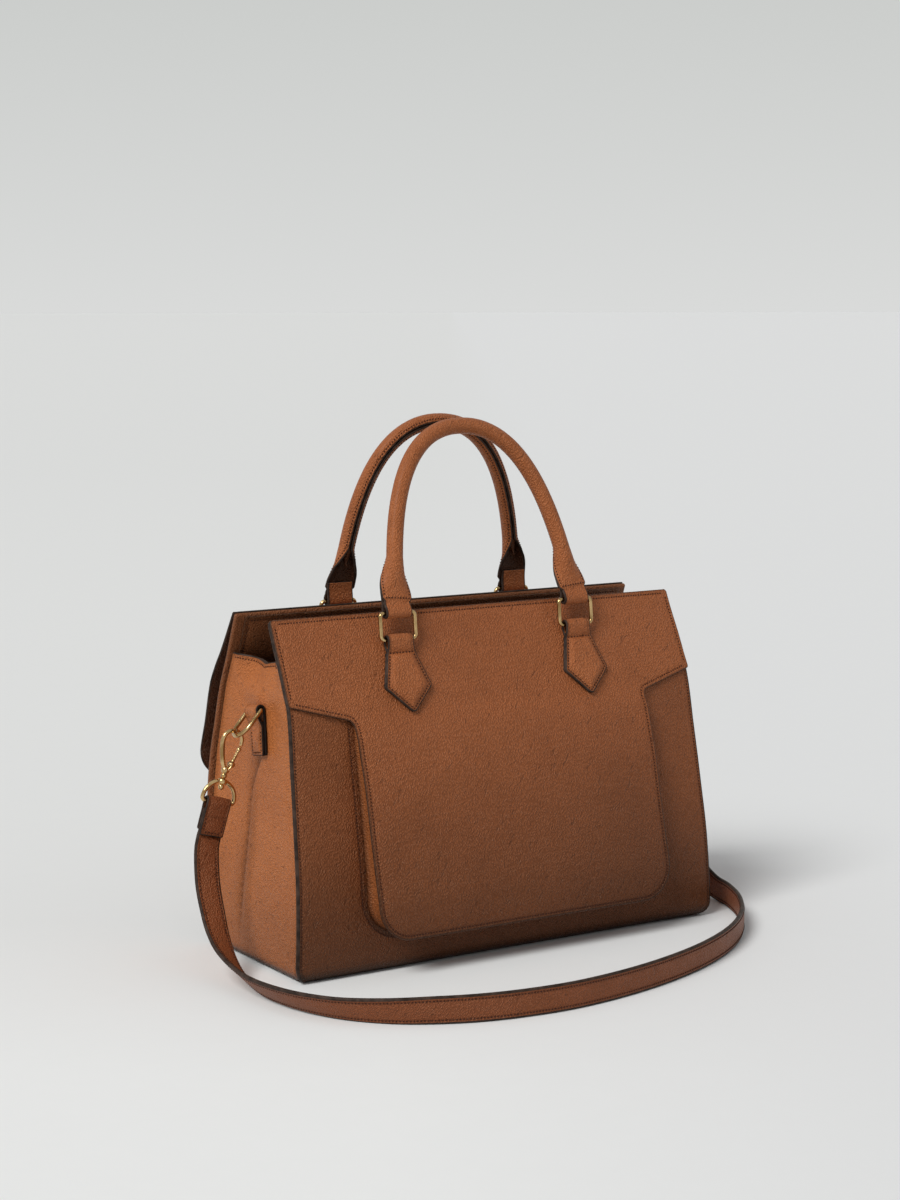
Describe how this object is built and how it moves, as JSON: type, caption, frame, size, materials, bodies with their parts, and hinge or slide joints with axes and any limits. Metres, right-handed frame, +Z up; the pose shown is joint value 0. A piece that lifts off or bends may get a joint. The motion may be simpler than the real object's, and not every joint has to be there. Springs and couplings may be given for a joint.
{
  "type": "leather satchel",
  "caption": "Structured leather satchel with arched handles on rings, a front patch pocket, a flapped back pocket and a clip-on shoulder strap lying on the floor.",
  "frame": {"origin": "middle of the base, on the surface that the bag stands on", "axes": "+Z up; +X along the bag's width, to the right as its pocket side is looked at; -Y towards the viewer of that side"},
  "size_m": [0.4432, 0.2988, 0.3822],
  "materials": {
    "leather": "satin",
    "light_leather": "satin",
    "dark_leather": "satin",
    "inner_leather": "matte",
    "lining": "matte",
    "board": "matte",
    "pale_gold": "polished"
  },
  "bodies": {
    "bag": {"front_panel": "leather", "front_overlay": "leather", "front_pocket_gusset": "light_leather", "front_lining": "lining", "front_facing": "inner_leather", "back_panel": "leather", "back_yoke": "leather", "back_pocket": "leather", "back_pocket_gusset": "dark_leather", "back_lining": "lining", "back_facing": "inner_leather", "left_gusset": "light_leather", "right_gusset": "light_leather", "left_gusset_lining": "lining", "right_gusset_lining": "lining", "base_panel": "dark_leather", "base_board": "board", "base_lining": "lining", "snap_stud": "pale_gold", "snap_socket": "pale_gold", "front_left_tab": "light_leather", "front_right_tab": "light_leather", "back_left_tab": "light_leather", "back_right_tab": "light_leather", "left_side_tab": "light_leather", "right_side_tab": "light_leather", "left_strap_end": "dark_leather", "right_strap_end": "dark_leather", "strap": "dark_leather"},
    "front_rings": {"front_left_ring": "pale_gold", "front_right_ring": "pale_gold"},
    "front_handle": {"front_handle": "light_leather"},
    "back_rings": {"back_left_ring": "pale_gold", "back_right_ring": "pale_gold"},
    "back_handle": {"back_handle": "light_leather"},
    "back_flap": {"back_flap": "leather"},
    "left_d_ring": {"left_d_ring": "pale_gold"},
    "left_d_base": {"left_d_base": "pale_gold"},
    "left_hook": {"left_hook": "pale_gold", "left_gate_pin": "pale_gold"},
    "left_gate": {"left_gate": "pale_gold"},
    "right_d_ring": {"right_d_ring": "pale_gold"},
    "right_d_base": {"right_d_base": "pale_gold"},
    "right_hook": {"right_hook": "pale_gold", "right_gate_pin": "pale_gold"},
    "right_gate": {"right_gate": "pale_gold"}
  },
  "joints": [
    {"name": "front_rings_hinge", "type": "hinge", "parent": "bag", "child": "front_rings", "pos_m": [0, -0.03329, 0.227], "axis": [1, 0, 0], "range_deg": [0, 85]},
    {"name": "front_handle_hinge", "type": "hinge", "parent": "front_rings", "child": "front_handle", "pos_m": [0, -0.0313, 0.2459], "axis": [1, 0, 0], "range_deg": [0, 90]},
    {"name": "back_rings_hinge", "type": "hinge", "parent": "bag", "child": "back_rings", "pos_m": [0, 0.05412, 0.227], "axis": [-1, 0, 0], "range_deg": [0, 85]},
    {"name": "back_handle_hinge", "type": "hinge", "parent": "back_rings", "child": "back_handle", "pos_m": [0, 0.05181, 0.24586], "axis": [-1, 0, 0], "range_deg": [0, 75]},
    {"name": "back_flap_hinge", "type": "hinge", "parent": "bag", "child": "back_flap", "pos_m": [0, 0.0769, 0.173], "axis": [1, 0, 0], "range_deg": [0, 35]},
    {"name": "left_d_ring_swing", "type": "hinge", "parent": "bag", "child": "left_d_ring", "pos_m": [-0.1716, 0.004, 0.18], "axis": [0, -1, 0], "range_deg": [0, 6]},
    {"name": "right_d_ring_swing", "type": "hinge", "parent": "bag", "child": "right_d_ring", "pos_m": [0.1716, 0.004, 0.18], "axis": [0, 1, 0], "range_deg": [0, 6]},
    {"name": "left_d_base_rock", "type": "hinge", "parent": "bag", "child": "left_d_base", "pos_m": [-0.20097, 0.00539, 0.11759], "axis": [0.9635, 0.0081, -0.2677], "range_deg": [-1.5, 1.5]},
    {"name": "left_hook_swivel", "type": "hinge", "parent": "left_d_base", "child": "left_hook", "pos_m": [-0.19481, 0.00472, 0.13974], "axis": [0.2678, -0.0293, 0.963], "range_deg": [-8, 8]},
    {"name": "left_gate_hinge", "type": "hinge", "parent": "left_hook", "child": "left_gate", "pos_m": [-0.19033, 0.00462, 0.14319], "axis": [0, -0.9995, -0.0304], "range_deg": [0, 15], "stiffness_Nm_per_rad": 0.01, "springref_deg": -5.73},
    {"name": "right_d_base_rock", "type": "hinge", "parent": "bag", "child": "right_d_base", "pos_m": [0.20097, 0.00539, 0.11759], "axis": [-0.9635, 0.0081, -0.2677], "range_deg": [-1.5, 1.5]},
    {"name": "right_hook_swivel", "type": "hinge", "parent": "right_d_base", "child": "right_hook", "pos_m": [0.19481, 0.00472, 0.13974], "axis": [-0.2678, -0.0293, 0.963], "range_deg": [-8, 8]},
    {"name": "right_gate_hinge", "type": "hinge", "parent": "right_hook", "child": "right_gate", "pos_m": [0.19033, 0.00462, 0.14319], "axis": [0, 0.9995, 0.0304], "range_deg": [0, 15], "stiffness_Nm_per_rad": 0.01, "springref_deg": -5.73}
  ]
}
